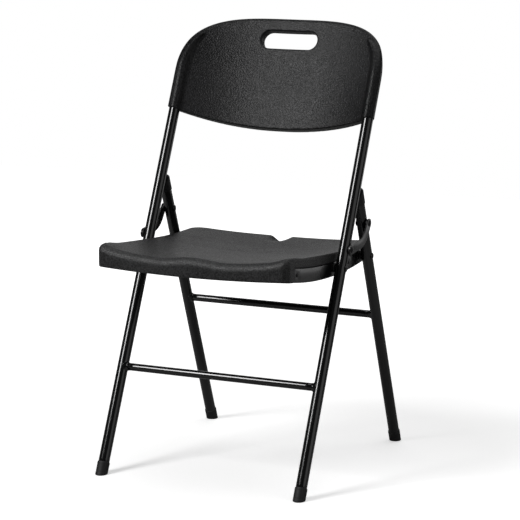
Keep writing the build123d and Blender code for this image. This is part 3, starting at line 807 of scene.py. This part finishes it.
def black_steel(name, base, bare, rough):
    """Blackened steel fasteners: darker finish, worn to metal on the highest points."""
    finish = Finish(name, Metallic=0.55)
    cloud = finish.noise(300, 3.0)
    turned_marks = finish.noise(2200, 2.0, 0.6)
    worn = finish.math("MULTIPLY", finish.edges(0.52, 0.62), finish.remap(cloud, 0.4, 0.6, 0, 0.7))
    finish.link(finish.blend(worn, base, bare), finish.shader, "Base Color")
    finish.link(finish.remap(turned_marks, 0.3, 0.7, rough - 0.07, rough + 0.09), finish.shader, "Roughness")
    finish.link(finish.bump(turned_marks, 0.00005, 0.5), finish.shader, "Normal")
    return finish.material


# ---------------------------------------------------------------- putting the object together
def build_pieces():
    back_panel()
    seat_panel()
    crossbar("front_crossbar_tube", "front_crossbar", "front_frame")
    crossbar("rear_crossbar_tube", "rear_crossbar", "rear_frame")
    weld_beads("front_crossbar_weld_beads", "front_crossbar_welds", "front_frame", FRONT_AXES,
               "front_crossbar")
    weld_beads("rear_crossbar_weld_beads", "rear_crossbar_welds", "rear_frame", REAR_AXES,
               "rear_crossbar")
    screw_heads("seat_rail_screw_heads", "seat_rail_screws")
    link_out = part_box("link_left")[1].x
    for name, side in SIDES:
        x = side * TUBE_X
        long_tube("front_upright_tube_" + name, "front_upright_" + name, "front_frame", FRONT_AXES, x)
        long_tube("rear_leg_tube_" + name, "rear_leg_" + name, "rear_frame", REAR_AXES, x)
        foot_cap("front_foot_" + name, "front_foot_cap_" + name, FRONT_AXES, x, "front_frame")
        foot_cap("rear_foot_" + name, "rear_foot_cap_" + name, REAR_AXES, x, "rear_frame")
        top_cap("rear_leg_end_cap_" + name, "rear_leg_top_cap_" + name, side)
        eased("link_plate_" + name, "link_" + name, "link_" + name, "bracket_paint", PLATE_EASE)
        eased("seat_rail_angle_" + name, "seat_rail_" + name, "seat", "bracket_paint", PLATE_EASE)
        rivet("seat_pivot_rivet_head_" + name, "seat_pivot_rivet_" + name, "front_frame", SEAT_PIVOT,
              TUBE_IN - TAIL_DOWN, TAIL_R, TUBE_OUT, LOW_HEAD, side)
        rivet("leg_pivot_rivet_head_" + name, "leg_pivot_rivet_" + name, "rear_frame", LEG_PIVOT,
              TUBE_IN - TAIL_DOWN, TAIL_R, TUBE_OUT, LOW_HEAD, side)
        rivet("link_rivet_head_" + name, "link_rivet_" + name, "front_frame", LINK_PIVOT,
              TUBE_OUT - TAIL_DOWN, SHANK_R, link_out + HEAD_GAP, HIGH_HEAD, side)
        rivet("link_end_rivet_head_" + name, "link_end_rivet_" + name, "link_" + name, LINK_END,
              TUBE_OUT + END_GAP, SHANK_R, link_out, HIGH_HEAD, side)
        rings = (("seat_pivot_washer_", "front_frame"), ("leg_pivot_washer_", "rear_frame"),
                 ("link_spacer_", "front_frame"), ("link_end_spacer_", "link_" + name))
        for ring, body in rings:
            eased(ring + "ring_" + name, ring + name, body, "washer_plastic", RING_EASE)


def grey(value, blue=None):
    """A neutral colour, or one that is a trace bluer."""
    return value, value, value if blue is None else blue


def paint():
    """Gives every shown piece and CAD node the finish of its slot."""
    finishes = {
        "back_plastic": grained_plastic("back_plastic_grain", grey(0.001, 0.0011), grey(0.023, 0.024),
                                        rough=0.31, shine=0.17),
        "seat_plastic": grained_plastic("seat_plastic_grain", grey(0.001, 0.0011), grey(0.037, 0.038),
                                        rough=0.46, shine=0.38),
        "tube_paint": gloss_paint("tube_paint_gloss", grey(0.0016, 0.0018), rough=0.16),
        "bracket_paint": gloss_paint("bracket_paint_satin", grey(0.003, 0.0033), rough=0.28),
        "cap_plastic": matt_plastic("cap_plastic_matt", grey(0.009, 0.0095), grey(0.020, 0.021), rough=0.55),
        "washer_plastic": matt_plastic("washer_plastic_matt", grey(0.012), grey(0.022), rough=0.45),
        "fastener_steel": black_steel("fastener_black_steel", grey(0.012, 0.013), (0.35, 0.34, 0.33),
                                      rough=0.30),
    }
    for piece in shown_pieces():
        if "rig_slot" in piece:
            piece.data.materials.clear()
            piece.data.materials.append(finishes[piece["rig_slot"]])
        else:
            for holder in piece.material_slots:
                holder.material = finishes[holder.material.name]


# ---------------------------------------------------------------- studio
CAMERA_TURNS = (25.122, 10.310, 0.1365)                     # azimuth, elevation and roll in degrees
CAMERA_AT = Vector((1.8386, FRONT_FOOT_Y - 3.6411, 1.1893))
CAMERA_LENS, CAMERA_SENSOR, CAMERA_REACH = 151.04, 36.0, 60.0
LIGHTS_AIM = (0, 0, 0.45)
LIGHTS = (                                                  # name, place, width, height, watts
    ("key", (-1.35, -2.02, 2.2), 0.8, 1.4, 56),
    ("fill", (3.0, -0.6, 1.3), 2.6, 2.4, 11),
    ("rear", (-1.4, 3.0, 1.5), 2.2, 2.4, 8),
    ("rear_side", (1.4, 2.7, 0.8), 1.6, 1.6, 5),
    ("top", (0.2, 0.4, 3.2), 2.4, 2.4, 30),
)
SKY_SEEN, SKY_LIGHTING = 1.0, 0.05
FLOOR_SIZE = 7
FLOOR_TONES = ((0.3, (0.84, 0.84, 0.84)), (0.7, (0.86, 0.86, 0.86)))
FLOOR_LIGHTING = 0.35         # what the floor gives back to the chair
GLOW_NEAR, GLOW_FAR = (0.5, 0.53), (1.9, 0.98)              # distance from the chair, strength


def camera():
    azimuth, elevation, roll = (math.radians(a) for a in CAMERA_TURNS)
    back = Vector((math.sin(azimuth) * math.cos(elevation), -math.cos(azimuth) * math.cos(elevation),
                   math.sin(elevation)))
    level = Vector((math.cos(azimuth), math.sin(azimuth), 0))
    right = math.cos(roll) * level + math.sin(roll) * back.cross(level)
    axes = Matrix((right, back.cross(right), back)).transposed().to_4x4()
    data = bpy.data.cameras.new("camera")
    data.sensor_width = CAMERA_SENSOR
    data.lens = CAMERA_LENS
    data.clip_end = CAMERA_REACH
    holder = bpy.data.objects.new("camera", data)
    holder.matrix_world = Matrix.Translation(CAMERA_AT) @ axes
    bpy.context.scene.collection.objects.link(holder)
    bpy.context.scene.camera = holder


def softbox(name, at, width, height, power):
    light = bpy.data.lights.new(name, "AREA")
    light.shape = "RECTANGLE"
    light.size, light.size_y, light.energy = width, height, power
    holder = bpy.data.objects.new(name, light)
    holder.location = at
    holder.rotation_euler = (Vector(at) - Vector(LIGHTS_AIM)).to_track_quat("Z", "Y").to_euler()
    bpy.context.scene.collection.objects.link(holder)


def background(tree, strength):
    node = tree.nodes.new("ShaderNodeBackground")
    node.inputs["Color"].default_value = (1, 1, 1, 1)
    node.inputs["Strength"].default_value = strength
    return node.outputs[0]


def two_faced(tree, seen, lighting):
    """One shader for what the camera looks at, and another for what lights the object."""
    choose = tree.nodes.new("ShaderNodeMixShader")
    tree.links.new(tree.nodes.new("ShaderNodeLightPath").outputs["Is Camera Ray"], choose.inputs[0])
    tree.links.new(lighting, choose.inputs[1])
    tree.links.new(seen, choose.inputs[2])
    return choose.outputs[0]


def floor_paper():
    """White paper that glows more further out, so that its far edge is lost against the backdrop."""
    finish = Finish("studio_floor_paper", Roughness=0.9, Specular_IOR_Level=0.1)
    finish.link(finish.ramp(finish.noise(3, 2.0), FLOOR_TONES), finish.shader, "Base Color")
    finish.shader.inputs["Emission Color"].default_value = (1, 1, 1, 1)
    reach = finish.node("ShaderNodeVectorMath", operation="LENGTH")
    finish.link(finish.place, reach, 0)
    glow = finish.remap(reach.outputs["Value"], GLOW_NEAR[0], GLOW_FAR[0], GLOW_NEAR[1], GLOW_FAR[1])
    finish.link(glow, finish.shader, "Emission Strength")
    dim = finish.node("ShaderNodeBsdfDiffuse")
    dim.inputs["Color"].default_value = (FLOOR_LIGHTING, FLOOR_LIGHTING, FLOOR_LIGHTING, 1)
    surface = two_faced(finish.tree, finish.shader.outputs[0], dim.outputs[0])
    finish.link(surface, finish.tree.nodes["Material Output"], "Surface")
    return finish.material


def studio():
    scene = bpy.context.scene
    scene.view_settings.view_transform = "Standard"
    scene.world = bpy.data.worlds.new("studio")
    scene.world.use_nodes = True
    tree = scene.world.node_tree
    sky = two_faced(tree, background(tree, SKY_SEEN), background(tree, SKY_LIGHTING))
    tree.links.new(sky, tree.nodes["World Output"].inputs["Surface"])
    for light in LIGHTS:
        softbox(*light)
    bpy.ops.mesh.primitive_grid_add(x_subdivisions=8, y_subdivisions=8, size=FLOOR_SIZE)
    floor = bpy.context.object
    floor.name = "studio_floor"
    floor.data.materials.append(floor_paper())


camera()
build_pieces()
paint()
studio()
